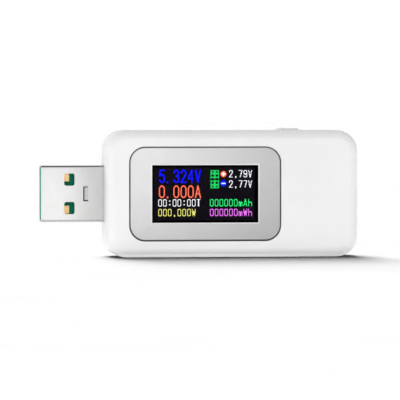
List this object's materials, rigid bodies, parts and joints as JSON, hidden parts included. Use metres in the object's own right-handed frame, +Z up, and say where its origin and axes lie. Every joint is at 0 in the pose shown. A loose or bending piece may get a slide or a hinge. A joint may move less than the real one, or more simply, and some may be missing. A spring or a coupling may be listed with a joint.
{
  "type": "usb power meter",
  "caption": "Inline USB type A power meter: rounded white housing, plug at one end, socket at the other, colour display behind a silver trim plate, push button on top.",
  "frame": {"origin": "middle of the object's length and thickness, on the surface that the long lower edge stands on", "axes": "+X from the plug to the socket, -Y out of the display, +Z up, across the width of the plug"},
  "size_m": [0.0676, 0.013, 0.0274],
  "materials": {
    "white_housing": "fine satin ABS moulding, slight texture",
    "white_button": "satin ABS moulding",
    "silver_trim": "silver-grey satin paint on thin sheet",
    "adhesive_film": "thin black double-sided tape",
    "clear_window": "clear polished window",
    "display_glass": "dark glass of a colour display",
    "white_backlight": "white light guide frame",
    "amber_film": "polyimide film",
    "black_foam": "open-cell foam tape",
    "green_board": "solder mask over glass fibre laminate",
    "plated_steel": "nickel-plated sheet steel",
    "green_insulator": "bright green moulded connector plastic",
    "gold_contacts": "gold-plated contact strip",
    "black_switch": "black heat-proof plastic",
    "ivory_plunger": "light plastic",
    "spring_steel": "thin spring steel",
    "tinned_leads": "matt tin plate",
    "black_package": "black moulding compound",
    "crystal_can": "plated metal lid",
    "tan_ceramic": "fired ceramic",
    "black_glaze": "dark glaze over a resistive film"
  },
  "bodies": {
    "housing": {"front_cover": "white_housing", "rear_cover": "white_housing", "trim_plate": "silver_trim", "trim_adhesive": "adhesive_film", "display_window": "clear_window", "lcd_cell": "display_glass", "lcd_driver_chip": "black_package", "lcd_backlight": "white_backlight", "lcd_ribbon": "amber_film", "foam_strips": "black_foam", "main_board": "green_board", "plug_shell": "plated_steel", "plug_insulator": "green_insulator", "plug_contacts": "gold_contacts", "socket_shell": "plated_steel", "socket_insulator": "green_insulator", "socket_contacts": "gold_contacts", "switch_body": "black_switch", "switch_frame": "plated_steel", "switch_dome": "spring_steel", "switch_terminals": "tinned_leads", "controller_chip": "black_package", "controller_pins": "tinned_leads", "amplifier_chip": "black_package", "amplifier_pins": "tinned_leads", "regulator": "black_package", "regulator_leads": "tinned_leads", "shunt_resistor": "black_package", "shunt_terminals": "tinned_leads", "crystal": "crystal_can", "chip_capacitors": "tan_ceramic", "chip_resistors": "black_glaze", "passive_end_caps": "tinned_leads"},
    "button": {"button_cap": "white_button"},
    "plunger": {"switch_plunger": "ivory_plunger"}
  },
  "joints": [
    {"name": "button_press", "type": "slide", "parent": "housing", "child": "button", "axis": [0, 0, -1], "range_m": [0, 0.00025], "stiffness_N_per_m": 2000},
    {"name": "plunger_press", "type": "slide", "parent": "housing", "child": "plunger", "axis": [0, 0, -1], "range_m": [0, 0.00025], "deforming": ["switch_dome"]}
  ],
  "couplings": [
    {"joint": "plunger_press", "follows": "button_press", "ratio": 1}
  ]
}
